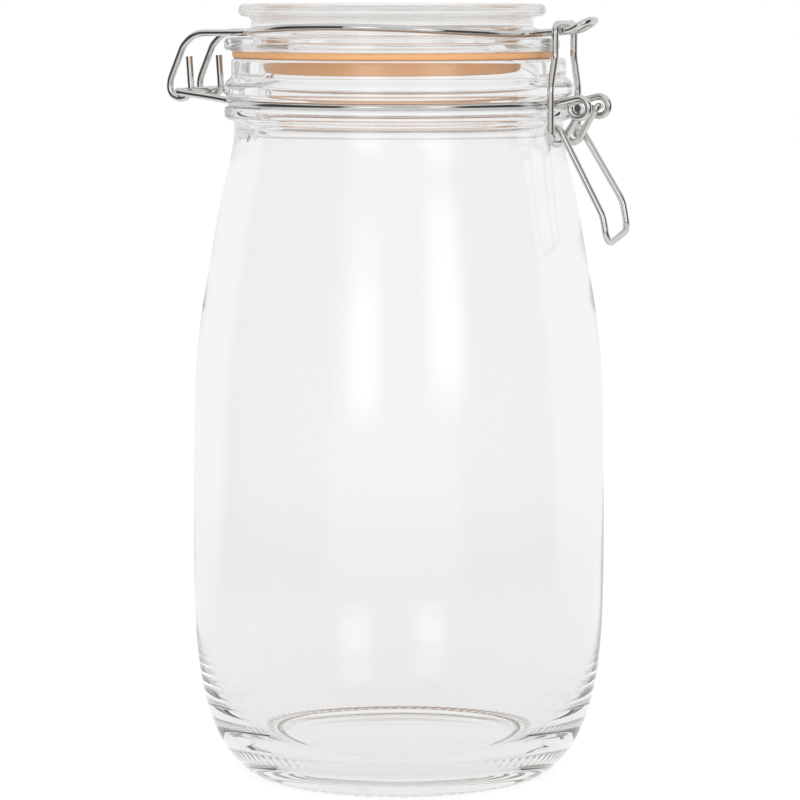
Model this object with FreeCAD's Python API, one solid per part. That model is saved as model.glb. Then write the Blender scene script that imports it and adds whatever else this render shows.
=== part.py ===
"""Clip-top preserving jar of two litres: glass jar and lid, rubber ring and wire clasp.

Millimetres, +Z up. The origin is on the jar's axis at the plane the jar stands on.
The clasp is on +X and the hinge on -X, so every hinge pin of the wirework runs along Y.
The modelled pose is the closed and locked jar.
"""
import FreeCAD
import Part
import math
import os

V = FreeCAD.Vector

# ---------------------------------------------------------------- driving dimensions
jar_h = 215.8            # height of the glass jar, table to sealing rim
body_r = 62.35           # largest outside radius of the body
foot_out_r = 45.4        # outside of the ring the jar stands on
foot_in_r = 40.6         # inside of the ring the jar stands on
foot_rise = 2.2          # how far the underside is pushed up inside the ring
floor_z = 7.0            # top of the glass floor inside
body_wall = 3.7          # wall of the body
finish_r = 50.2          # outside radius of the rim above the beads
neck_r = finish_r - 0.75 # outside radius of the neck
mouth_r = finish_r - 7.7 # inside radius of the mouth
bead_r = finish_r + 2.15 # outside radius of the two beads that hold the neck wire
groove_r = finish_r - 0.6       # bottom of the groove between the beads
upper_bead_z = jar_h - 8.9      # middle of the upper bead
upper_bead_half = 3.1
lower_bead_z = jar_h - 16.3     # middle of the lower bead
lower_bead_half = 2.1

wire_d = 2.1             # every wire of the clasp and hinge
wire_r = wire_d / 2.0

lid_shift = -2.2         # the clasp pulls the lid off the jar's axis, toward the hinge
lid_flange_r = finish_r + 0.1   # edge of the lid that lies on the ring
lid_flange_t = 3.8
lid_neck_r = lid_flange_r - 7.9 # waist the lid wire runs round
lid_top_r = lid_flange_r - 4.2  # top disc
lid_top_t = 3.9
lid_h = 14.0             # from the underside of the flange to the top
lid_plug_r = mouth_r - 5.9      # step under the flange, inside the rubber ring's lip
lid_plug_h = 1.9
lid_hollow_r = lid_plug_r - 4.1 # hollow under the lid
lid_hollow_z = 7.4       # its depth, from the underside of the flange

gasket_out_r = lid_flange_r - 2.4
gasket_t = 2.1           # flat part, squeezed between the lid and the rim
gasket_lip_r = lid_plug_r + 0.7 # the ring's inner lip hangs into the mouth, at this radius
gasket_lip_t = 1.9
gasket_lip_z = jar_h - 5.2      # lowest point of the lip
seal_gap = 0.05          # left between the rubber ring and the glass on each side
lid_z = jar_h + gasket_t + 2.0 * seal_gap    # underside of the lid's flange

lid_wire_r = lid_neck_r + wire_r + 0.2     # centre line of the lid wire round the waist
lid_wire_z = lid_z + 6.2        # its mean height
lid_wire_bow = 1.2       # it bows up at front and back and down at hinge and clasp

neck_wire_r = groove_r + wire_r + 0.2      # centre line of the wire in the groove
neck_wire_z = jar_h - 13.1

hinge_x = -bead_r - 14.95       # hinge bar, part of the neck wire
hinge_z = jar_h - 10.5
hinge_leg_y = 10.7       # the two hooked legs of the lid wire
hinge_strand_y = 14.4    # the two strands that carry the hinge bar
hook_r = 3.55            # centre line radius of the hooks
hinge_play = 0.08        # between hinge bar and the inside of a hook
pin_top_z = jar_h + 0.1         # tops of the two standing ends of the hooks

pivot_x = bead_r + 8.05         # eyes of the neck wire, where the lever turns
pivot_z = jar_h - 14.0
eye_y = 9.1
eye_r = 2.85             # centre line radius of an eye

lever_in_y = 6.9         # struts from the pivot to the coils
lever_out_y = 9.15       # arms from the coils to the finger loop
pivot_end_y = 10.6       # tips of the lever in the eyes
coil_x = bead_r + 0.75
coil_z = jar_h - 22.4
coil_r = 2.25            # centre line radius of a coil
arm_kink_x = bead_r + 15.55
arm_kink_z = jar_h - 43.6
arm_end_x = bead_r + 17.05
arm_end_z = jar_h - 52.2
arm_skew = 1.7           # the finger loop hangs lower on the -Y side

tab_y = 5.0              # half width of the tongue of the lid wire
tab_z = lid_z + 5.6
tab_tip_x = bead_r + 8.85
tab_tip_z = lid_z + 9.2

link_x = bead_r + 0.25          # plane of the link
link_top_y = 8.3
link_bottom_y = 12.1
link_end_y = 10.45       # inner ends, 0.3 mm off the coils
link_play = 0.45         # between the link's top bar and the tongue



# ---------------------------------------------------------------- helpers
def revolved(outline, cx=0.0):
    """Solid of revolution round the vertical line x = cx of a closed outline of edges in x, z."""
    face = Part.Face(Part.Wire(outline))
    solid = face.revolve(V(0, 0, 0), V(0, 0, 1), 360.0)
    solid.translate(V(cx, 0, 0))
    return as_solid(solid)


def as_solid(shape):
    """The one solid of a shape, facing outward."""
    if shape.ShapeType != "Solid":
        shape = shape.Solids[0] if shape.Solids else Part.makeSolid(Part.Shell(shape.Faces))
    if shape.Volume < 0:
        shape.reverse()
    return shape


def rz(r, z):
    return V(r, 0.0, z)


def profile(corners):
    """Closed outline through corners (r, z, rounding), straight between rounded corners."""
    pts = [rz(c[0], c[1]) for c in corners]
    n = len(pts)
    cuts = []
    for i in range(n):
        a, b, c = pts[i - 1], pts[i], pts[(i + 1) % n]
        round_r = corners[i][2] if len(corners[i]) > 2 else 0.0
        cuts.append(corner_arc(a, b, c, round_r))
    edges = []
    for i in range(n):
        start = cuts[i]
        end = cuts[(i + 1) % n]
        if start[1] is not None:
            edges.append(Part.Arc(start[0], start[1], start[2]).toShape())
        if start[2].distanceToPoint(end[0]) > 1e-6:
            edges.append(Part.LineSegment(start[2], end[0]).toShape())
    return edges


def corner_arc(a, b, c, bend):
    """Start, middle and end of the arc of radius bend that rounds the corner a-b-c."""
    u = (b - a).normalize()
    w = (c - b).normalize()
    turn = u.getAngle(w)
    if bend <= 0.0 or turn < 1e-4:
        return b, None, b
    cut = bend * math.tan(turn / 2.0)
    p1 = b - u * cut
    p2 = b + w * cut
    to_centre = (w - u).normalize()
    centre = b + to_centre * (bend / math.cos(turn / 2.0))
    mid = centre - to_centre * bend
    return p1, mid, p2


def bent(points, bends):
    """Edges of a wire through points, with a bend of the given radius at each inner point."""
    edges = []
    here = points[0]
    for i in range(1, len(points) - 1):
        p1, mid, p2 = corner_arc(points[i - 1], points[i], points[i + 1], bends[i - 1])
        if here.distanceToPoint(p1) > 1e-5:
            edges.append(Part.LineSegment(here, p1).toShape())
        if mid is not None:
            edges.append(Part.Arc(p1, mid, p2).toShape())
        here = p2
    if here.distanceToPoint(points[-1]) > 1e-5:
        edges.append(Part.LineSegment(here, points[-1]).toShape())
    return edges


def spline(points, start_dir, end_dir):
    curve = Part.BSplineCurve()
    curve.interpolate(Points=points, InitialTangent=start_dir, FinalTangent=end_dir,
                      Scale=False)
    return curve.toShape()


def drawn_wire(edges, closed=False):
    """Round wire of diameter wire_d along edges that follow each other smoothly."""
    path = Part.Wire(edges)
    first = path.OrderedEdges[0]
    start = first.valueAt(first.FirstParameter)
    tangent = first.tangentAt(first.FirstParameter)
    if first.Orientation == "Reversed":
        start = first.valueAt(first.LastParameter)
        tangent = first.tangentAt(first.LastParameter) * -1.0
    ring = Part.Wire([Part.makeCircle(wire_r, start, tangent)])
    return as_solid(path.makePipeShell([ring], True, False))


def ring_point(cx, radius, z_mid, bow, deg):
    """Point on a ring round the jar at an angle from the clasp, and its direction there."""
    a = math.radians(deg)
    p = V(cx + radius * math.cos(a), radius * math.sin(a), z_mid - bow * math.cos(2 * a))
    t = V(-radius * math.sin(a), radius * math.cos(a), 2 * bow * math.sin(2 * a))
    return p, t.normalize()


def arcs(points):
    """Edges of a smooth curve through an odd number of points, two spans to an arc."""
    return [Part.Arc(points[i], points[i + 1], points[i + 2]).toShape()
            for i in range(0, len(points) - 2, 2)]


def ring_part(cx, radius, z_mid, bow, deg0, deg1):
    """One smooth length of a ring from angle deg0 to angle deg1."""
    steps = 2 if bow == 0.0 else 16
    pts = []
    for i in range(steps + 1):
        pts.append(ring_point(cx, radius, z_mid, bow, deg0 + (deg1 - deg0) * i / steps)[0])
    return arcs(pts)


def leaving_angle(cx, radius, y, bend, side):
    """Angle at which a ring is left for a strand at distance y from the X axis."""
    out = y + bend
    a = math.degrees(math.asin(out / (radius + bend)))
    if side > 0:
        return a
    return 180.0 - a


def on_plane_y(p, t, y):
    """Point where the line from p along t reaches the plane at y."""
    return p + t * ((y - p.y) / t.y)


def mirrored(points):
    """The same points on the other side of the plane of the clasp, in reverse order."""
    return [V(p.x, -p.y, p.z) for p in reversed(points)]


# ---------------------------------------------------------------- jar
def jar_glass():
    neck_z = jar_h - 21.6
    # each point: how far out between neck and widest radius, and its height between foot and neck
    body = [(out, z / 194.2 * neck_z) for out, z in [
        (0.2984, 7.7), (0.593, 15.5), (0.8721, 30.5), (0.9922, 52.0), (1.0, 75.0),
        (0.9806, 101.0), (0.8566, 133.0), (0.562, 156.5), (0.2519, 177.5), (0.0233, 190.5),
    ]]
    outer = [rz(foot_out_r, 0.0), rz(foot_out_r + 3.6, 2.6)]
    outer += [rz(neck_r + out * (body_r - neck_r), z) for out, z in body]
    outer.append(rz(neck_r, neck_z))
    skin = spline(outer, V(10, 0, 4).normalize(), V(0, 0, 1))
    lo0 = lower_bead_z - lower_bead_half
    lo1 = lower_bead_z + lower_bead_half
    up0 = upper_bead_z - upper_bead_half
    up1 = upper_bead_z + upper_bead_half
    finish = profile_open([
        (neck_r, neck_z), (neck_r, lo0 - 0.4, 1.2), (bead_r, lo0 + 0.5, 1.3),
        (bead_r, lo1 - 0.3, 1.1), (groove_r, lo1 + 0.1, 0.5), (groove_r, up0 - 0.1, 0.5),
        (bead_r, up0 + 0.9, 1.7), (bead_r, up1 - 1.7, 2.4), (finish_r, up1 + 0.2, 1.0),
        (finish_r, jar_h, 1.1), (mouth_r, jar_h, 0.9), (mouth_r, jar_h - 10.8, 12.0),
        (mouth_r + 2.1, neck_z - 1.2),
    ])
    inside_r = body_r - body_wall
    # each point: how far out between mouth and inner wall, and its height between foot and neck
    inner = [(0.178, 183.0), (0.4484, 166.5), (0.7544, 144.5), (0.9395, 118.5), (1.0, 84.0),
             (0.9893, 52.0), (0.8612, 31.0), (0.4982, 17.0)]
    throat = mouth_r + 2.1
    pts = [rz(throat, neck_z - 1.2)]
    pts += [rz(throat + out * (inside_r - throat), z / 194.2 * neck_z) for out, z in inner]
    pts += [rz(foot_out_r - 3.4, floor_z + 1.6), rz(foot_out_r - 11.4, floor_z)]
    inside = spline(pts, (pts[0] - rz(mouth_r, jar_h - 10.8)).normalize(), V(-1, 0, 0))
    under = profile_open([
        (0.0, foot_rise), (foot_in_r - 2.6, foot_rise, 2.0), (foot_in_r, 0.0, 0.8),
        (foot_out_r, 0.0),
    ])
    base = [Part.LineSegment(pts[-1], rz(0.0, floor_z)).toShape()]
    base.append(Part.LineSegment(rz(0.0, floor_z), rz(0.0, foot_rise)).toShape())
    return revolved([skin] + finish + [inside] + base + under)


def profile_open(corners):
    """Open outline through corners (r, z, rounding)."""
    pts = [rz(c[0], c[1]) for c in corners]
    bends = [c[2] if len(c) > 2 else 0.0 for c in corners[1:-1]]
    return bent(pts, bends)


# ---------------------------------------------------------------- lid and rubber ring
def lid_glass():
    z0 = lid_z
    top = z0 + lid_h
    under_top = top - lid_top_t
    corners = [
        (0.0, z0 + lid_hollow_z), (lid_hollow_r - 1.2, z0 + lid_hollow_z, 3.0),
        (lid_hollow_r, z0 - lid_plug_h, 1.0), (lid_plug_r, z0 - lid_plug_h, 0.6),
        (lid_plug_r, z0, 0.0), (lid_flange_r, z0, 1.1),
        (lid_flange_r, z0 + lid_flange_t, 1.5), (lid_neck_r, z0 + lid_flange_t, 0.8),
        (lid_neck_r, under_top, 1.2), (lid_top_r, under_top, 1.75),
        (lid_top_r, top, 1.85), (0.0, top),
    ]
    edges = profile_open(corners)
    edges.append(Part.LineSegment(rz(0.0, top), rz(0.0, z0 + lid_hollow_z)).toShape())
    return revolved(edges, lid_shift)


def gasket():
    z0 = jar_h + seal_gap
    z1 = z0 + gasket_t
    inside_mouth = mouth_r + lid_shift - 0.4
    return revolved(profile([
        (inside_mouth, z0, 1.5), (gasket_out_r, z0, 0.7), (gasket_out_r, z1, 0.7),
        (inside_mouth - 0.6, z1, 2.4), (gasket_lip_r - 0.3 * gasket_lip_t, gasket_lip_z + 1.2, 0.5),
        (gasket_lip_r + 0.7 * gasket_lip_t, gasket_lip_z, 0.5),
    ]), lid_shift)


# ---------------------------------------------------------------- wires
def neck_wire():
    """Wire in the groove, with the hinge bar at the back and two eyes at the clasp."""
    bend = 3.0
    hinge_deg = leaving_angle(0.0, neck_wire_r, hinge_strand_y, bend, -1)
    eye_deg = leaving_angle(0.0, neck_wire_r, eye_y, bend, 1)
    edges = []
    # first eye, from its open end round to the top and in along the strand
    eye = eye_points(-eye_y)
    a0 = -math.radians(190.0)
    a1 = eye_top_angle()
    arc_mid = (a0 + a1) / 2.0
    arc = Part.Arc(on_eye(a0, -eye_y), on_eye(arc_mid, -eye_y), on_eye(a1, -eye_y))
    edges.append(arc.toShape())
    ring_end, ring_dir = ring_point(0.0, neck_wire_r, neck_wire_z, 0.0, -eye_deg)
    corner = on_plane_y(ring_end, ring_dir, -eye_y)
    edges += bent([on_eye(a1, -eye_y), eye, corner, ring_end], [1.6, bend * 0.8])
    edges += ring_part(0.0, neck_wire_r, neck_wire_z, 0.0, -eye_deg, -hinge_deg)
    # hinge loop
    p, t = ring_point(0.0, neck_wire_r, neck_wire_z, 0.0, -hinge_deg)
    knee = on_plane_y(p, t, -hinge_strand_y)
    loop = [p, knee, V(knee.x - 5.6, -hinge_strand_y, neck_wire_z + 0.9)]
    loop.append(V(hinge_x, -hinge_strand_y, hinge_z))
    loop = loop + mirrored(loop)
    edges += bent(loop, [bend * 0.92, 5.0, 2.1, 2.1, 5.0, bend * 0.92])
    edges += ring_part(0.0, neck_wire_r, neck_wire_z, 0.0, hinge_deg, eye_deg)
    ring_end, ring_dir = ring_point(0.0, neck_wire_r, neck_wire_z, 0.0, eye_deg)
    corner = on_plane_y(ring_end, ring_dir, eye_y)
    edges += bent([ring_end, corner, eye_points(eye_y), on_eye(a1, eye_y)], [bend * 0.8, 1.6])
    arc = Part.Arc(on_eye(a1, eye_y), on_eye(arc_mid, eye_y), on_eye(a0, eye_y))
    edges.append(arc.toShape())
    return drawn_wire(edges)


def on_eye(a, y):
    return V(pivot_x + eye_r * math.cos(a), y, pivot_z + eye_r * math.sin(a))


def eye_top_angle():
    """Angle on the eye at which its strand arrives."""
    return math.radians(104.0)


def eye_points(y):
    """Knee of the strand between the groove and the top of the eye."""
    a = eye_top_angle()
    p = on_eye(a, y)
    slope = math.tan(a - math.pi / 2.0)
    return V(p.x - (p.z - neck_wire_z) / slope, y, neck_wire_z)


def lid_wire():
    """Wire round the lid's waist: two hooked legs at the hinge and a tongue at the clasp."""
    bend = 3.0
    leg_deg = leaving_angle(lid_shift, lid_wire_r, hinge_leg_y, bend, -1)
    tab_deg = leaving_angle(lid_shift, lid_wire_r, tab_y, bend, 1)
    leg = leg_points(-hinge_leg_y)
    p, t = ring_point(lid_shift, lid_wire_r, lid_wire_z, lid_wire_bow, -leg_deg)
    knee = on_plane_y(p, t, -hinge_leg_y)
    edges = hook_edges(-hinge_leg_y)
    edges += bent(leg + [knee, p], [8.0, 5.0, 8.0, bend * 0.92])
    edges += ring_part(lid_shift, lid_wire_r, lid_wire_z, lid_wire_bow, -leg_deg, -tab_deg)
    p, t = ring_point(lid_shift, lid_wire_r, lid_wire_z, lid_wire_bow, -tab_deg)
    knee = on_plane_y(p, t, -tab_y)
    tab = [p, knee, V(bead_r + 3.65, -tab_y, tab_z + 0.6), V(tab_tip_x, -tab_y, tab_tip_z)]
    tab = tab + mirrored(tab)
    edges += bent(tab, [bend * 0.92, 8.0, 3.4, 3.4, 8.0, bend * 0.92])
    edges += ring_part(lid_shift, lid_wire_r, lid_wire_z, lid_wire_bow, tab_deg, leg_deg)
    p, t = ring_point(lid_shift, lid_wire_r, lid_wire_z, lid_wire_bow, leg_deg)
    knee = on_plane_y(p, t, hinge_leg_y)
    leg = leg_points(hinge_leg_y)
    edges += bent([p, knee] + list(reversed(leg)), [bend * 0.92, 8.0, 5.0, 8.0])
    edges += [e for e in reversed(hook_edges(hinge_leg_y))]
    return drawn_wire(edges)


def hook_centre_z():
    """Height of the middle of a hook, so that its inside rests under the hinge bar."""
    return hinge_z - wire_r - hinge_play - wire_r + hook_r


def hook_edges(y):
    """Standing end and bend of a hook, as far as the start of its leg."""
    zc = hook_centre_z()
    top = V(hinge_x + hook_r - 0.6, y, pin_top_z)
    foot = V(hinge_x + hook_r, y, zc)
    bottom = V(hinge_x, y, zc - hook_r)
    outer = V(hinge_x - hook_r, y, zc)
    lean = math.atan2(0.6, pin_top_z - zc)
    foot = V(hinge_x + hook_r * math.cos(lean), y, zc + hook_r * math.sin(lean))
    return [Part.LineSegment(top, foot).toShape(), Part.Arc(foot, bottom, outer).toShape()]


def leg_points(y):
    """Course of a leg from its hook up and over to the lid."""
    zc = hook_centre_z()
    x0 = hinge_x - hook_r
    return [V(x0, y, zc), V(x0, y, zc + 1.8),
            V(hinge_x + 0.9, y, lid_z + 1.0), V(hinge_x + 4.7, y, lid_z + 5.0)]


def link():
    """Bail over the tongue of the lid wire, its ends turned in toward the lever's coils."""
    top_z = tab_z + wire_d + link_play
    side = [V(link_x, -link_end_y, coil_z), V(link_x, -link_bottom_y, coil_z)]
    side.append(V(link_x, -link_bottom_y, jar_h - 8.2))
    side.append(V(link_x, -link_top_y, jar_h + 0.6))
    side.append(V(link_x, -link_top_y, top_z))
    pts = side + mirrored(side)
    return drawn_wire(bent(pts, [1.55, 6.0, 6.0, 2.6, 2.6, 6.0, 6.0, 1.55]))


def coil_angles(kink):
    """Angles on a coil at which the strut arrives and the arm leaves."""
    to_pivot = math.atan2(pivot_z - coil_z, pivot_x - coil_x)
    d = math.hypot(pivot_z - coil_z, pivot_x - coil_x)
    arrive = to_pivot - math.acos(coil_r / d)
    to_kink = math.atan2(kink.z - coil_z, kink.x - coil_x)
    d = math.hypot(kink.z - coil_z, kink.x - coil_x)
    leave = to_kink + math.acos(coil_r / d)
    return arrive, leave - 2.0 * math.pi


def half_lever(side):
    """Edges of one side of the lever, from its tip in the eye to the middle of the finger loop."""
    y_in = side * lever_in_y
    y_out = side * lever_out_y
    kink = V(arm_kink_x, y_out, arm_kink_z + side * arm_skew)
    end = V(arm_end_x, y_out, arm_end_z + side * arm_skew)
    middle = V(arm_end_x, 0.0, arm_end_z)
    a0, a1 = coil_angles(kink)
    turns = []
    steps = 12
    for i in range(steps + 1):
        s = i / steps
        a = a0 + (a1 - a0) * s
        y = y_in + (y_out - y_in) * (3 * s * s - 2 * s * s * s)
        turns.append(V(coil_x + coil_r * math.cos(a), y, coil_z + coil_r * math.sin(a)))
    tip = V(pivot_x, side * pivot_end_y, pivot_z)
    edges = bent([tip, V(pivot_x, y_in, pivot_z), turns[0]], [1.6])
    edges += arcs(turns)
    edges += bent([turns[-1], kink, end, middle], [12.0, 3.6])
    return edges


def lever():
    edges = half_lever(-1.0) + list(reversed(half_lever(1.0)))
    return drawn_wire(edges)


# ---------------------------------------------------------------- write the solids
os.makedirs("parts", exist_ok=True)
solids = {
    "jar_glass": jar_glass(),
    "neck_wire": neck_wire(),
    "lid_glass": lid_glass(),
    "gasket": gasket(),
    "lid_wire": lid_wire(),
    "link": link(),
    "lever": lever(),
}
for name, solid in solids.items():
    solid.exportStep("parts/" + name + ".step")
    print(name, solid.isValid(), len(solid.Solids), round(solid.Volume / 1000.0, 2), "cm3")
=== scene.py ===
# %% [markdown]
# A clip-top preserving jar, made piece by piece
#
# This is a two litre preserving jar: a blown glass body, a pressed glass lid, a ring of natural
# rubber between them, and a clasp and hinge bent from one gauge of bright steel wire. The measured
# model comes first and stays as the frame. Its wires are exact, so they stay and only get a metal.
# Its glass and rubber are turned again here as finer, smoother meshes, because clear glass shows
# every facet of the surface that light passes through.

# %% Load the measured model as the frame
import math
import bmesh
import bpy
import numpy as np
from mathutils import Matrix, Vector


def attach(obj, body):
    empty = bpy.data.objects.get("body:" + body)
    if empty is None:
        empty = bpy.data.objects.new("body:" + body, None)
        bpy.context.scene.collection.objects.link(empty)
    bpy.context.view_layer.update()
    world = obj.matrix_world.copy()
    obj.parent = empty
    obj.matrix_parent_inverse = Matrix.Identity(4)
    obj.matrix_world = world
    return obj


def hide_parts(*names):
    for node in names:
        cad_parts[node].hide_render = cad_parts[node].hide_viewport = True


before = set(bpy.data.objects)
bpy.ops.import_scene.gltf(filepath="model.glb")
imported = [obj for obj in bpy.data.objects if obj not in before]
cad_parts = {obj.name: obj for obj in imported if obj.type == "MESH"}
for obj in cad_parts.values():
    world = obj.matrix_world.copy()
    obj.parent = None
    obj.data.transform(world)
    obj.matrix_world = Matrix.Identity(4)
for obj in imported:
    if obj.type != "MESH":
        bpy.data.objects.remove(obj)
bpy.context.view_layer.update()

MM = 0.001

# %% [markdown]
# Two small helpers serve everything below. One turns a colour that is written the usual way, as an
# sRGB hex value, into the linear numbers that a renderer works in. The other adds one node to any
# node tree, sets it and links it, so that a tree reads from top to bottom like a recipe.

# %% A colour helper and a node helper
def linear(code):
    """sRGB hex, such as "c9c7c2", as linear red, green, blue and alpha 1."""
    parts = [int(code[i:i + 2], 16) / 255.0 for i in (0, 2, 4)]
    return tuple(c / 12.92 if c <= 0.04045 else ((c + 0.055) / 1.055) ** 2.4
                 for c in parts) + (1.0,)


def add(tree, kind, inputs=None, **settings):
    """One node of that kind: settings first, then each input as a value or a link."""
    made = tree.nodes.new(kind)
    for name, value in settings.items():
        setattr(made, name, value)
    for key, value in (inputs or {}).items():
        if isinstance(value, bpy.types.NodeSocket):
            tree.links.new(value, made.inputs[key])
        else:
            made.inputs[key].default_value = value
    return made


print("middle grey in linear light:", round(linear("808080")[0], 3))

# %% [markdown]
# The camera stands a little over a metre from the jar with a long lens, so that the sides of the
# jar stay nearly upright. It is turned 22 degrees toward the clasp, which shows the hinge on one
# side and the clasp on the other, and it looks down by seven degrees, so that the top of the lid
# is just seen from the side and the foot shows as a shallow curve.

# %% The camera
CAM_TURN = math.radians(22.0)
CAM_DOWN = 6.79
CAM_FAR, CAM_HIGH = 1.063, 0.239
toward_cam = Vector((math.sin(CAM_TURN), -math.cos(CAM_TURN), 0.0))
cam_right = Vector((math.cos(CAM_TURN), math.sin(CAM_TURN), 0.0))
camera_data = bpy.data.cameras.new("Camera")
camera_data.lens = 158.85
camera_data.sensor_width = 36.0
camera_data.clip_start = 0.05
camera_data.shift_x = 0.0015
camera = bpy.data.objects.new("Camera", camera_data)
bpy.context.scene.collection.objects.link(camera)
camera.location = toward_cam * CAM_FAR + Vector((0.0, 0.0, CAM_HIGH))
camera.rotation_euler = (math.radians(90.0 - CAM_DOWN), 0.0, CAM_TURN)
bpy.context.scene.camera = camera
bpy.context.scene.view_settings.view_transform = "Standard"
print("camera at", [round(c, 3) for c in camera.location], "lens", camera_data.lens)

# %% [markdown]
# Clear glass has no colour of its own to speak of: what it shows is the room. So the room matters
# more than any other material here. It is a white light tent. Looked at directly the tent is plain
# white; in glass and metal it shows a little greyer, as a lit cloth is. A mirror also shows dark
# flags at the sides and, around the camera, the grey of the tent's open front. Two soft lamps beside
# the camera show in anything glossy. The lamps draw the long upright highlights on the body, the
# flags draw the dark streaks along the bright wires.

# %% What hangs in the tent
TENT, OPEN_FRONT, FLAG, LAMP = 0.92, 0.74, 0.07, 2.2
# side, half its width, its soft edge, height, half its tallness, its soft edge (degrees), level
flags = [(-72.0, 36.0, 9.0, 5.0, 29.0, 12.0, FLAG), (62.0, 29.0, 9.0, 5.0, 29.0, 12.0, FLAG),
         (-2.0, 33.0, 5.0, 5.0, 29.0, 12.0, OPEN_FRONT)]
lamps = [(-20.0, 7.0, 8.0, 7.0, 8.0, 7.0, LAMP), (28.0, 8.0, 9.0, 11.0, 9.0, 8.0, LAMP)]
print("tent level", TENT, "with", len(flags), "flags and", len(lamps), "lamps")

# %% [markdown]
# The tent is drawn by direction, with no objects in it: a direction is turned into an angle to the
# side of the camera and an angle upward, and a patch with soft edges is laid over the cloth where
# both angles fall inside it. The kind of ray decides which patches count. A ray that comes straight
# off a mirroring face sees all of them. One that was mirrored and then left through another face of
# glass sees the lamps alone, because dark flags that show again and again inside thick glass would
# make it look smoked.

# %% The room as a brightness for each direction
def patch_inside(tree, angles, spans, counts):
    """How far a direction lies inside one patch, times whether the patch counts for the ray."""
    inside = counts
    for angle, (middle, half, edge) in zip(angles, spans):
        off = add(tree, "ShaderNodeMath", {0: angle, 1: math.radians(middle)},
                  operation="SUBTRACT").outputs[0]
        size = add(tree, "ShaderNodeMath", {0: off}, operation="ABSOLUTE").outputs[0]
        part = add(tree, "ShaderNodeMapRange",
                   {"Value": size, "From Min": math.radians(half + edge),
                    "From Max": math.radians(half - edge * 0.6)},
                   interpolation_type="SMOOTHSTEP").outputs["Result"]
        inside = add(tree, "ShaderNodeMath", {0: part, 1: inside},
                     operation="MULTIPLY").outputs[0]
    return inside


def room_seen(tree, way, rays, plain):
    """Brightness along a direction: plain through glass, flags in a mirror, lamps in any gloss."""
    to_right = add(tree, "ShaderNodeVectorMath", {0: way, 1: cam_right}, operation="DOT_PRODUCT")
    to_front = add(tree, "ShaderNodeVectorMath", {0: way, 1: toward_cam}, operation="DOT_PRODUCT")
    side = add(tree, "ShaderNodeMath", {0: to_right.outputs["Value"],
                                        1: to_front.outputs["Value"]}, operation="ARCTAN2")
    up_part = add(tree, "ShaderNodeSeparateXYZ", {"Vector": way}).outputs["Z"]
    height = add(tree, "ShaderNodeMath", {0: up_part}, operation="ARCSINE")
    mirrored = add(tree, "ShaderNodeMath", {0: rays["Is Glossy Ray"],
                                            1: rays["Is Transmission Ray"]},
                   operation="SUBTRACT", use_clamp=True).outputs[0]
    glossy = add(tree, "ShaderNodeMath", {0: rays["Glossy Depth"], 1: 1.0},
                 operation="MINIMUM").outputs[0]
    view = add(tree, "ShaderNodeMix", {0: mirrored, 2: plain, 3: TENT}).outputs[0]
    for patches, counts in ((flags, mirrored), (lamps, glossy)):
        for *spans, level in patches:
            inside = patch_inside(tree, (side.outputs[0], height.outputs[0]),
                                  (spans[:3], spans[3:]), counts)
            view = add(tree, "ShaderNodeMix", {0: inside, 2: view, 3: level}).outputs[0]
    return view


world = bpy.data.worlds.new("LightTent")
bpy.context.scene.world = world
world.use_nodes = True
room = world.node_tree
room.nodes.clear()
rays = add(room, "ShaderNodeLightPath").outputs
level = room_seen(room, add(room, "ShaderNodeTexCoord").outputs["Generated"], rays, TENT)
seen = add(room, "ShaderNodeMix", {0: rays["Is Camera Ray"], 2: level, 3: 1.0}).outputs[0]
sky = add(room, "ShaderNodeBackground", {"Color": (1.0, 1.0, 1.0, 1.0), "Strength": seen})
add(room, "ShaderNodeOutputWorld", {"Surface": sky.outputs["Background"]})
print("world nodes:", len(room.nodes))

# %% [markdown]
# The jar stands on a white table. Looked at directly the table is as white as the tent, because a
# plain white glow is painted into it, and it is still lit on top of that glow, so the jar keeps a
# faint contact shadow. Through glass its painted glow is at about the level of the tent, so no
# horizon cuts through the glass. In a mirror that glow carries a painted reflection of the tent: the
# flags and lamps run on across the table, so the dark streak lies in the middle of a wire, between a
# bright edge above and one below.

# %% A material to start from and the table top
TABLE_RADIUS, TABLE_DROP = 4.0, 0.0002


def bare_material(name):
    """A material with an empty node tree, and that tree."""
    made = bpy.data.materials.new(name)
    made.use_nodes = True
    made.node_tree.nodes.clear()
    return made, made.node_tree


bpy.ops.mesh.primitive_circle_add(vertices=128, radius=TABLE_RADIUS, fill_type="NGON",
                                  location=(0, 0, 0))
table = bpy.context.object
table.name = "Table"
table.location.z = -TABLE_DROP
print("table radius", TABLE_RADIUS)

# %% White laminate with a painted glow that carries the room
NEAR, FAR = 0.1, 0.7
PAINT_DIRECT, PAINT_NEAR = 0.40, 0.10
GLOW_DIRECT, GLOW_NEAR = 0.72, 0.73
SEEN_FROM = (0.0, 0.0, 0.2)
table_white, tree = bare_material("white_table_laminate")
rays = add(tree, "ShaderNodeLightPath").outputs
place = add(tree, "ShaderNodeTexCoord").outputs["Object"]
way = add(tree, "ShaderNodeVectorMath", {0: place, 1: SEEN_FROM}, operation="SUBTRACT")
way = add(tree, "ShaderNodeVectorMath", {0: way.outputs[0]}, operation="NORMALIZE").outputs[0]
reach = add(tree, "ShaderNodeVectorMath", {0: place}, operation="LENGTH").outputs["Value"]
far_off = add(tree, "ShaderNodeMapRange", {"Value": reach, "From Min": NEAR, "From Max": FAR},
              interpolation_type="SMOOTHSTEP").outputs["Result"]
glossy = add(tree, "ShaderNodeMath", {0: rays["Is Glossy Ray"], 1: rays["Is Transmission Ray"]},
             operation="MAXIMUM").outputs[0]
near_paint = add(tree, "ShaderNodeMix", {0: far_off, 2: PAINT_NEAR, 3: 0.0}).outputs[0]
paint = add(tree, "ShaderNodeMix", {0: glossy, 2: PAINT_DIRECT, 3: near_paint}).outputs[0]
lit = add(tree, "ShaderNodeBsdfDiffuse", {"Color": paint})
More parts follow.
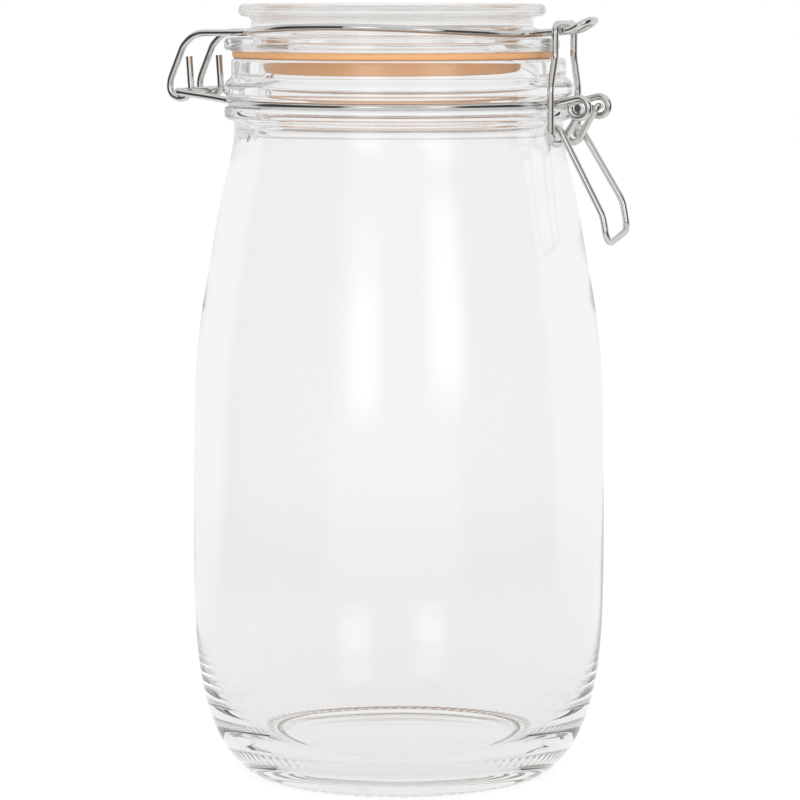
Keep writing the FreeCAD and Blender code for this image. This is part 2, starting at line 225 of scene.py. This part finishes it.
# Painted light: the table glows. The glow is plain white to the camera and at the tent's level
# through glass. In a mirror it adds a painted reflection of the tent's dark flags and bright lamps.
near_glow = add(tree, "ShaderNodeMix", {0: far_off, 2: GLOW_NEAR, 3: TENT}).outputs[0]
shown = room_seen(tree, way, rays, near_glow)
mirrored = add(tree, "ShaderNodeMath", {0: glossy, 1: shown}, operation="MULTIPLY").outputs[0]
glow_level = add(tree, "ShaderNodeMix", {0: rays["Is Camera Ray"], 2: mirrored,
                                         3: GLOW_DIRECT}).outputs[0]
glow = add(tree, "ShaderNodeEmission", {"Color": (1, 1, 1, 1), "Strength": glow_level})
both = add(tree, "ShaderNodeAddShader", {0: lit.outputs[0], 1: glow.outputs[0]})
add(tree, "ShaderNodeOutputMaterial", {"Surface": both.outputs[0]})
table.data.materials.append(table_white)
print("the table fades into the tent between", NEAR, "and", FAR, "m from the jar")

# %% [markdown]
# The same two lamps, as real softboxes, light what isn't glass or metal. They don't show in
# mirrors, because the tent already draws them there with soft edges.

# %% The softboxes
BOX_WIDE, BOX_TALL, BOX_FAR, BOX_RADIANCE = 0.34, 0.52, 1.55, 12.0
JAR_MIDDLE = Vector((0.0, 0.0, 0.14))


def heading(side_deg, up_deg):
    """Unit vector at an angle to the right of the camera's side of the jar, and upward."""
    s, u = math.radians(side_deg), math.radians(up_deg)
    flat = toward_cam * math.cos(s) + cam_right * math.sin(s)
    return flat * math.cos(u) + Vector((0.0, 0.0, math.sin(u)))


def softbox(name, side_deg, up_deg):
    """Rectangular lamp that faces the middle of the jar, its power from its brightness and size."""
    data = bpy.data.lights.new(name, "AREA")
    data.shape = "RECTANGLE"
    data.size, data.size_y = BOX_WIDE, BOX_TALL
    data.energy = BOX_RADIANCE * math.pi * BOX_WIDE * BOX_TALL
    lamp = bpy.data.objects.new(name, data)
    bpy.context.scene.collection.objects.link(lamp)
    lamp.location = heading(side_deg, up_deg) * BOX_FAR + JAR_MIDDLE
    lamp.rotation_euler = (-heading(side_deg, up_deg)).to_track_quat("-Z", "Y").to_euler()
    lamp.visible_glossy = lamp.visible_transmission = False
    print(name, "power", round(data.energy, 2), "W")


softbox("SoftboxLeft", -20.0, 8.0)
softbox("SoftboxRight", 28.0, 11.0)

# %% [markdown]
# Materials. Jar glass is soda-lime glass: index 1.52, fire-polished, so with next to no roughness.
# A few millimetres of it are clear; a few centimetres, as in the lid seen edge on, show a faint
# grey-green. That depth of colour is absorption inside the glass, not a paint on its surface. Clear
# glass also throws next to no shadow, so light that falls through it on its way from a lamp is let
# straight through.

# %% Soda-lime glass
GLASS_INDEX = 1.52
FALLS_THROUGH = (0.85, 0.86, 0.85, 1.0)


def glass_material(name, rough, tint, depth):
    """Clear glass: its surface roughness, and the colour that depth of glass takes on."""
    made, tree = bare_material(name)
    skin = add(tree, "ShaderNodeBsdfPrincipled",
               {"Base Color": (1.0, 1.0, 1.0, 1.0), "Roughness": rough, "IOR": GLASS_INDEX,
                "Transmission Weight": 1.0})
    inside = add(tree, "ShaderNodeVolumeAbsorption", {"Color": linear(tint), "Density": depth})
    rays = add(tree, "ShaderNodeLightPath").outputs
    passing = add(tree, "ShaderNodeBsdfTransparent", {"Color": FALLS_THROUGH})
    whole = add(tree, "ShaderNodeMixShader", {0: rays["Is Shadow Ray"], 1: skin.outputs["BSDF"],
                                              2: passing.outputs["BSDF"]})
    add(tree, "ShaderNodeOutputMaterial", {"Surface": whole.outputs["Shader"],
                                           "Volume": inside.outputs["Volume"]})
    print(name, "index", GLASS_INDEX, "roughness", rough)
    return made


# Blown in a mould and fire-polished: the clearest and smoothest surface that glass gets.
blown_glass = glass_material("soda_lime_glass_blown", 0.010, "a9b0a6", 1.6)
# Pressed between mould and plunger: a touch duller, and thicker, so it shows more of its colour.
pressed_glass = glass_material("soda_lime_glass_pressed", 0.018, "a9aca2", 1.8)

# %% [markdown]
# The sealing ring is natural rubber, moulded with a thin inner lip: matt, a warm brown-orange, with
# a faint grain of about half a millimetre and soft clouds of a slightly lighter, duller tone.

# %% Natural rubber
RUBBER_INDEX = 1.52
CLOUD_MM, GRAIN_MM, GRAIN_HIGH_MM = 9.0, 0.6, 0.05
rubber, tree = bare_material("natural_rubber_moulded")
place = add(tree, "ShaderNodeTexCoord").outputs["Object"]
cloud = add(tree, "ShaderNodeTexNoise", {"Vector": place, "Scale": 1000.0 / CLOUD_MM,
                                         "Detail": 3.0})
grain = add(tree, "ShaderNodeTexNoise", {"Vector": place, "Scale": 1000.0 / GRAIN_MM,
                                         "Detail": 2.0})
tone = add(tree, "ShaderNodeMix", {0: cloud.outputs["Fac"], 6: linear("e8ac79"),
                                   7: linear("f0b783")}, data_type="RGBA")
matt = add(tree, "ShaderNodeMapRange", {"Value": cloud.outputs["Fac"], "To Min": 0.48,
                                        "To Max": 0.62})
rough = add(tree, "ShaderNodeBump", {"Strength": 0.5, "Distance": GRAIN_HIGH_MM * MM,
                                     "Height": grain.outputs["Fac"]})
skin = add(tree, "ShaderNodeBsdfPrincipled",
           {"Base Color": tone.outputs[2], "Roughness": matt.outputs["Result"],
            "IOR": RUBBER_INDEX, "Normal": rough.outputs["Normal"]})
add(tree, "ShaderNodeOutputMaterial", {"Surface": skin.outputs["BSDF"]})
print("rubber grain", GRAIN_MM, "mm, clouds", CLOUD_MM, "mm")

# %% [markdown]
# The wirework is drawn steel wire with a bright plated finish. Drawing and bending leave faint marks
# under the plating, so it is bright but not a perfect mirror. Real marks are finer than a tenth of a
# millimetre and wouldn't show, so they are drawn coarser here.

# %% Bright plated steel wire
MARKS_MM, MARKS_HIGH_MM = 1.3, 0.03
steel, tree = bare_material("drawn_steel_bright_plated")
place = add(tree, "ShaderNodeTexCoord").outputs["Object"]
speck = add(tree, "ShaderNodeTexNoise", {"Vector": place, "Scale": 1000.0 / MARKS_MM,
                                         "Detail": 2.0})
tone = add(tree, "ShaderNodeMix", {0: speck.outputs["Fac"], 6: linear("cac9c7"),
                                   7: linear("d8d7d5")}, data_type="RGBA")
polish = add(tree, "ShaderNodeMapRange", {"Value": speck.outputs["Fac"], "To Min": 0.07,
                                          "To Max": 0.15})
marks = add(tree, "ShaderNodeBump", {"Strength": 0.35, "Distance": MARKS_HIGH_MM * MM,
                                     "Height": speck.outputs["Fac"]})
skin = add(tree, "ShaderNodeBsdfPrincipled",
           {"Base Color": tone.outputs[2], "Metallic": 1.0, "Roughness": polish.outputs["Result"],
            "Normal": marks.outputs["Normal"]})
add(tree, "ShaderNodeOutputMaterial", {"Surface": skin.outputs["BSDF"]})
for name in ("neck_wire", "lid_wire", "link", "lever"):
    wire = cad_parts[name]
    for slot in wire.material_slots:
        slot.link = "OBJECT"
        slot.material = steel
    print(name, "slots", len(wire.material_slots))

# %% [markdown]
# The glass and the rubber are shapes of revolution: one outline, carried once round an axis. The
# outline is a short list of radius and height in millimetres. Free curves, such as the body, go
# through their points as one smooth spline, as blown glass does.

# %% Outlines: smooth runs
def smooth_run(points, start, end, per_span=5):
    """Points of the cubic spline through points, leaving along start and arriving along end."""
    p = np.array(points, float)
    gaps = np.linalg.norm(np.diff(p, axis=0), axis=1)
    n = len(p)
    rows, right = np.zeros((n, n)), np.zeros((n, 2))
    rows[0, 0] = rows[-1, -1] = 1.0
    right[0] = np.array(start) / np.linalg.norm(start)
    right[-1] = np.array(end) / np.linalg.norm(end)
    for i in range(1, n - 1):
        a, b = gaps[i - 1], gaps[i]
        rows[i, i - 1], rows[i, i], rows[i, i + 1] = b, 2 * (a + b), a
        right[i] = 3 * ((p[i] - p[i - 1]) * b / a + (p[i + 1] - p[i]) * a / b)
    slope = np.linalg.solve(rows, right)
    run = []
    for i in range(n - 1):
        for k in range(per_span):
            s, h = k / per_span, gaps[i]
            run.append(p[i] * (2 * s**3 - 3 * s**2 + 1) + slope[i] * h * (s**3 - 2 * s**2 + s)
                       + p[i + 1] * (3 * s**2 - 2 * s**3) + slope[i + 1] * h * (s**3 - s**2))
    return [tuple(q) for q in run] + [tuple(p[-1])]


print("a quarter turn in", len(smooth_run([(1, 0), (0.71, 0.71), (0, 1)], (0, 1), (-1, 0))),
      "points")

# %% [markdown]
# Rims, beads and flanges have corners, and hot glass always rounds a corner a little. So these parts
# are written as corners, each with its own rounding, and an arc is put in at each. An outline that
# is joined from several runs can have two points on one spot, and the second of them is left out.

# %% Outlines: rounded corners
def rounded(corners, steps=5):
    """Points of an open outline through corners (radius, height, rounding)."""
    line = []
    for i, corner in enumerate(corners):
        here = Vector(corner[:2])
        if len(corner) < 3 or i in (0, len(corners) - 1):
            line.append(tuple(here))
            continue
        back = (Vector(corners[i - 1][:2]) - here).normalized()
        on = (Vector(corners[i + 1][:2]) - here).normalized()
        turn = math.pi - back.angle(on)
        cut = corner[2] * math.tan(turn / 2.0)
        first, last = here + back * cut, here + on * cut
        middle = here + (back + on).normalized() * (corner[2] / math.cos(turn / 2.0))
        for k in range(steps + 1):
            arm = (first - middle).lerp(last - middle, k / steps).normalized() * corner[2]
            line.append(tuple(middle + arm))
    return line


def without_doubles(line, least=0.02):
    """The same outline without points that fall on each other."""
    kept = [line[0]]
    for point in line[1:]:
        if math.dist(point, kept[-1]) > least:
            kept.append(point)
    return kept


print("a corner becomes", len(rounded([(0, 0), (1, 0, 0.3), (1, 1)])) - 2, "points")

# %% [markdown]
# Carrying an outline round an axis is a rule, so Geometry Nodes does it: the outline is swept along
# a circle with a radius of one metre, and each outline is set back by that metre, so that a radius
# in the outline is a radius of the piece. The points at the poles and along the seam are merged.

# %% The turning tree: its inputs and its sweep
MERGE = 0.005 * MM
SIZES = (("Round", "Int", 96), ("Axis X", "Float", 0.0),
         ("Bars", "Int", 0), ("Bar Depth", "Float", 0.0), ("Bars In", "Float", 0.0),
         ("Bars Out", "Float", 0.0), ("Bars Top", "Float", 0.0),
         ("Ripple", "Float", 0.0), ("Ripple Scale", "Float", 1.0), ("Ripple Top", "Float", 0.0))


def tree_inputs(tree):
    """Name the tree's inputs: the outline, the sizes and the finish. Return their sockets."""
    face = tree.interface
    face.new_socket("Outline", in_out="INPUT", socket_type="NodeSocketGeometry")
    for name, kind, value in SIZES:
        socket = face.new_socket(name, in_out="INPUT", socket_type="NodeSocket" + kind)
        socket.default_value = value
    face.new_socket("Finish", in_out="INPUT", socket_type="NodeSocketMaterial")
    face.new_socket("Geometry", in_out="OUTPUT", socket_type="NodeSocketGeometry")
    return add(tree, "NodeGroupInput").outputs


def swept_outline(tree, given):
    """The outline carried once round the axis."""
    ring = add(tree, "GeometryNodeCurvePrimitiveCircle",
               {"Resolution": given["Round"], "Radius": 1.0}, mode="RADIUS")
    upright = add(tree, "GeometryNodeSetCurveNormal", {"Curve": ring.outputs["Curve"]},
                  mode="Z_UP")
    swept = add(tree, "GeometryNodeCurveToMesh", {"Curve": upright.outputs["Curve"],
                                                  "Profile Curve": given["Outline"]})
    return add(tree, "GeometryNodeMergeByDistance", {"Geometry": swept.outputs["Mesh"],
                                                     "Distance": MERGE}).outputs["Geometry"]


print("inputs:", [name for name, kind, value in SIZES])

# %% [markdown]
# The same tree cuts the foot. The ring that a jar stands on has a row of small radial bars moulded
# into it, so that the hot glass cools evenly and doesn't craze. They are made by lifting the glass
# between the bars by a fifth of a millimetre: a wave round the foot says where the gaps are, and
# the lift fades out toward the inner and the outer edge of the ring.

# %% The bars under the foot
BAR_FADE = 0.0006


def gaps_lifted(tree, given, where):
    """How far the glass is lifted at a point: nothing on a bar, the bar's depth in a gap."""
    turn = add(tree, "ShaderNodeMath", {0: where["Y"], 1: where["X"]}, operation="ARCTAN2")
    count = add(tree, "ShaderNodeMath", {0: turn.outputs[0], 1: given["Bars"]},
                operation="MULTIPLY")
    wave = add(tree, "ShaderNodeMath", {0: count.outputs[0]}, operation="COSINE")
    gap = add(tree, "ShaderNodeMapRange", {"Value": wave.outputs[0], "From Min": 0.35,
                                           "From Max": -0.15}, interpolation_type="SMOOTHSTEP")
    flat = add(tree, "ShaderNodeCombineXYZ", {"X": where["X"], "Y": where["Y"]}).outputs[0]
    reach = add(tree, "ShaderNodeVectorMath", {0: flat}, operation="LENGTH").outputs["Value"]
    amount = gap.outputs["Result"]
    for edge, inward in (("Bars Out", "SUBTRACT"), ("Bars In", "ADD")):
        full = add(tree, "ShaderNodeMath", {0: given[edge], 1: BAR_FADE}, operation=inward)
        fade = add(tree, "ShaderNodeMapRange", {"Value": reach, "From Min": given[edge],
                                                "From Max": full.outputs[0]})
        amount = add(tree, "ShaderNodeMath", {0: amount, 1: fade.outputs["Result"]},
                     operation="MULTIPLY").outputs[0]
    low = add(tree, "ShaderNodeMath", {0: where["Z"], 1: given["Bars Top"]},
              operation="LESS_THAN")
    for other in (low.outputs[0], given["Bar Depth"]):
        amount = add(tree, "ShaderNodeMath", {0: amount, 1: other},
                     operation="MULTIPLY").outputs[0]
    return amount


print("bars fade over", BAR_FADE / MM, "mm")

# %% [markdown]
# Last, the tree gives blown glass its slow ripple: a few hundredths of a millimetre over two or
# three centimetres, longer up and down than round, which is what makes a highlight on it waver.
# It fades out at the neck, where the mould and not the breath gives the shape. The piece is then
# set to its axis and shaded smooth, and the tree ends with plain geometry and its material.

# %% The ripple, and the whole tree
UP_AND_DOWN = (1.0, 1.0, 0.45)
RIPPLE_FADE = 0.02


def blown_ripple(tree, given, where, position):
    """How far, and which way, the surface of blown glass lies from its true shape."""
    spot = add(tree, "ShaderNodeVectorMath", {0: position, 1: UP_AND_DOWN},
               operation="MULTIPLY").outputs[0]
    wave = add(tree, "ShaderNodeTexNoise", {"Vector": spot, "Scale": given["Ripple Scale"],
                                            "Detail": 1.0, "Roughness": 0.4})
    swell = add(tree, "ShaderNodeMath", {0: wave.outputs[0], 1: 0.5},
                operation="SUBTRACT").outputs[0]
    full = add(tree, "ShaderNodeMath", {0: given["Ripple Top"], 1: RIPPLE_FADE},
               operation="SUBTRACT")
    below = add(tree, "ShaderNodeMapRange", {"Value": where["Z"], "From Min": given["Ripple Top"],
                                             "From Max": full.outputs[0]})
    for other in (given["Ripple"], below.outputs["Result"], 2.0):
        swell = add(tree, "ShaderNodeMath", {0: swell, 1: other},
                    operation="MULTIPLY").outputs[0]
    outward = add(tree, "GeometryNodeInputNormal").outputs["Normal"]
    return add(tree, "ShaderNodeVectorMath", {0: outward, "Scale": swell},
               operation="SCALE").outputs[0]


def turning_tree():
    """The whole tree: sweep, foot bars, ripple, place, smooth shading, finish."""
    tree = bpy.data.node_groups.new("TurnedGlass", "GeometryNodeTree")
    given = tree_inputs(tree)
    swept = swept_outline(tree, given)
    position = add(tree, "GeometryNodeInputPosition").outputs["Position"]
    where = add(tree, "ShaderNodeSeparateXYZ", {"Vector": position}).outputs
    lift = add(tree, "ShaderNodeCombineXYZ", {"X": given["Axis X"],
                                              "Z": gaps_lifted(tree, given, where)}).outputs[0]
    rippled = blown_ripple(tree, given, where, position)
    offset = add(tree, "ShaderNodeVectorMath", {0: lift, 1: rippled}, operation="ADD").outputs[0]
    moved = add(tree, "GeometryNodeSetPosition", {"Geometry": swept, "Offset": offset})
    smooth = add(tree, "GeometryNodeSetShadeSmooth", {"Geometry": moved.outputs["Geometry"]})
    real = add(tree, "GeometryNodeRealizeInstances", {"Geometry": smooth.outputs["Geometry"]})
    done = add(tree, "GeometryNodeSetMaterial", {"Geometry": real.outputs["Geometry"],
                                                 "Material": given["Finish"]})
    add(tree, "NodeGroupOutput", {"Geometry": done.outputs["Geometry"]})
    return tree


turned = turning_tree()
print("turning tree nodes:", len(turned.nodes))

# %% [markdown]
# One function uses the tree. It writes an outline as a curve, lets the tree turn it and keeps the
# result as a plain mesh. A closed piece of glass has to have an inside and an outside, because light
# bends at its faces, so the function also counts open edges and turns the faces outward.

# %% Turn one piece
def turn_piece(name, outline, finish, cyclic=False, **sizes):
    """Sweep an outline in millimetres with the turning tree and keep the plain mesh."""
    line = without_doubles(outline)
    curve = bpy.data.curves.new(name + "_outline", "CURVE")
    curve.dimensions = "3D"
    run = curve.splines.new("POLY")
    run.points.add(len(line) - 1)
    for point, (r, z) in zip(run.points, line):
        point.co = (r * MM - 1.0, -z * MM, 0.0, 1.0)
    run.use_cyclic_u = cyclic
    holder = bpy.data.objects.new(name + "_outline", curve)
    bpy.context.scene.collection.objects.link(holder)
    modifier = holder.modifiers.new("Turn", "NODES")
    modifier.node_group = turned
    names = {item.name: item.identifier for item in turned.interface.items_tree
             if item.in_out == "INPUT"}
    for key, value in dict(sizes, Finish=finish).items():
        modifier[names[key.replace("_", " ")]] = value
    shown = holder.evaluated_get(bpy.context.evaluated_depsgraph_get())
    mesh = bpy.data.meshes.new_from_object(shown)
    mesh.name = name
    bpy.data.objects.remove(holder)
    face_outward(mesh)
    piece = bpy.data.objects.new(name, mesh)
    bpy.context.scene.collection.objects.link(piece)
    bpy.context.view_layer.update()
    box = [[round(pick(v.co[i] for v in mesh.vertices) / MM, 2) for pick in (min, max)]
           for i in range(3)]
    print(name, len(mesh.polygons), "faces, box mm", box)
    return piece


def face_outward(mesh):
    """Turn the faces of a closed mesh outward, and print its open edges and its volume."""
    whole = bmesh.new()
    whole.from_mesh(mesh)
    if whole.calc_volume(signed=True) < 0.0:
        bmesh.ops.reverse_faces(whole, faces=whole.faces)
        whole.to_mesh(mesh)
    open_edges = sum(1 for edge in whole.edges if not edge.is_manifold)
    print(mesh.name, "open edges", open_edges, "volume cm3",
          round(whole.calc_volume(signed=True) * 1e6, 2))
    whole.free()


print("ready to turn the jar, the lid and the ring")

# %% [markdown]
# The jar's outside starts in the middle of the underside, which is pushed up a little so that the
# jar stands on a ring. From the heel the body swells into a slim barrel and draws in to the neck, in
# one sweep of glass blown against a mould. It is written as one spline through measured points.

# %% The jar's foot and body, from the axis outward and up
foot_up = rounded([(0.0, 2.2), (38.0, 2.2, 2.0), (40.6, 0.0, 0.8), (41.9, 0.0), (42.7, 0.0),
                   (43.5, 0.0), (44.3, 0.0), (44.9, 0.0), (45.4, 0.0)])
skin_up = smooth_run([(45.4, 0.0), (49.0, 2.6), (53.3, 7.7), (57.1, 15.5), (60.7, 30.5),
                      (62.25, 52.0), (62.35, 75.0), (62.1, 101.0), (60.5, 133.0), (56.7, 156.5),
                      (52.7, 177.5), (49.75, 190.5), (49.45, 194.2)], (10, 4), (0, 1))
print("widest radius", round(max(r for r, z in skin_up), 2), "mm")

# %% [markdown]
# The finish, as glassmakers call the top of a jar, is shaped by its own part of the mould: two beads
# with a groove between them for the wire, and a tall rim that the rubber ring sits on. Inside, the
# glass follows the skin at an even wall and thickens toward the floor, where it gathers.

# %% The jar's finish and hollow, and the jar
finish_up = rounded([(49.45, 194.2), (49.45, 197.0, 1.2), (52.35, 197.9, 1.3),
                     (52.35, 201.3, 1.1), (49.6, 201.7, 0.5), (49.6, 203.7, 0.5),
                     (52.35, 204.7, 1.7), (52.35, 208.3, 2.4), (50.2, 210.2, 1.0),
                     (50.2, 215.8, 1.1), (42.5, 215.8, 0.9), (42.5, 205.0, 12.0),
                     (44.6, 193.0)])
hollow_down = smooth_run([(44.6, 193.0), (47.1, 183.0), (50.9, 166.5), (55.2, 144.5),
                          (57.8, 118.5), (58.65, 84.0), (58.5, 52.0), (56.7, 31.0),
                          (51.6, 17.0), (42.0, 8.6), (34.0, 7.0)], (2.1, -12.0), (-1, 0))
floor_in = [(17.0, 7.0), (0.0, 7.0)]
jar_line = foot_up + skin_up[1:] + finish_up[1:] + hollow_down[1:] + floor_in
print("outline points", len(jar_line))
jar = turn_piece("JarGlass", jar_line, blown_glass, Round=492, Bars=82, Bar_Depth=0.00022,
                 Bars_In=0.0412, Bars_Out=0.0468, Bars_Top=0.0013,
                 Ripple=0.00004, Ripple_Scale=38.0, Ripple_Top=0.194)

# %% [markdown]
# The lid is pressed glass: a plug that drops into the mouth, a flange that clamps the rubber, a
# waist for the lid's wire and a wide top disc, with a shallow hollow under it. It sits a little off
# the jar's axis, toward the hinge, where the wires pull it. All its heights are given from the
# flange's underside.

# %% The lid
LID_Z, LID_SHIFT = 218.0, -0.0022
lid_line = rounded([(r, LID_Z + z, *rounding) for r, z, *rounding in (
    (0.0, 7.4), (31.3, 7.4, 3.0), (32.5, -1.9, 1.0), (36.6, -1.9, 0.6), (36.6, 0.0),
    (50.3, 0.0, 1.1), (50.3, 3.8, 1.5), (42.4, 3.8, 0.8), (42.4, 10.1, 1.2),
    (46.1, 10.1, 1.75), (46.1, 14.0, 1.85), (0.0, 14.0))])
lid = turn_piece("LidGlass", lid_line, pressed_glass, Round=240, Axis_X=LID_SHIFT)

# %% [markdown]
# The ring lies between rim and flange, and it has an inner lip that hangs into the mouth and keeps
# it centred. Through the thick rim the lip shows as an orange crescent. The ring stays a hair clear
# of the glass above and below: two surfaces on one spot would fight over which of them is seen.

# %% The rubber ring
RING_LOW, RING_HIGH = 215.85, 217.95
ring_line = rounded([(44.0, RING_LOW), (47.9, RING_LOW, 0.7), (47.9, RING_HIGH, 0.7),
                     (39.3, RING_HIGH, 2.4), (36.73, 211.8, 0.5), (38.63, 210.6, 0.5),
                     (39.9, RING_LOW, 1.5), (44.0, RING_LOW)])[:-1]
ring = turn_piece("RubberRing", ring_line, rubber, cyclic=True, Round=240, Axis_X=LID_SHIFT)

# %% [markdown]
# Each new piece rides on its body, so that it moves with the joints, and stands in for the measured
# piece that it replaces. Light can be guided a long way inside thick glass, round the rim and the
# foot, and a path that is cut off early leaves a black streak there, so paths may bounce often.

# %% Ride on the bodies and finish
BOUNCES = 48
for piece, body, node, slot in ((jar, "jar", "jar_glass", "jar_glass"),
                                (lid, "lid", "lid_glass", "lid_glass"),
                                (ring, "lid", "gasket", "rubber_ring")):
    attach(piece, body)
    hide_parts(node)
bpy.context.scene.cycles.max_bounces = BOUNCES
bpy.context.scene.cycles.transmission_bounces = BOUNCES
bpy.context.scene.cycles.glossy_bounces = BOUNCES
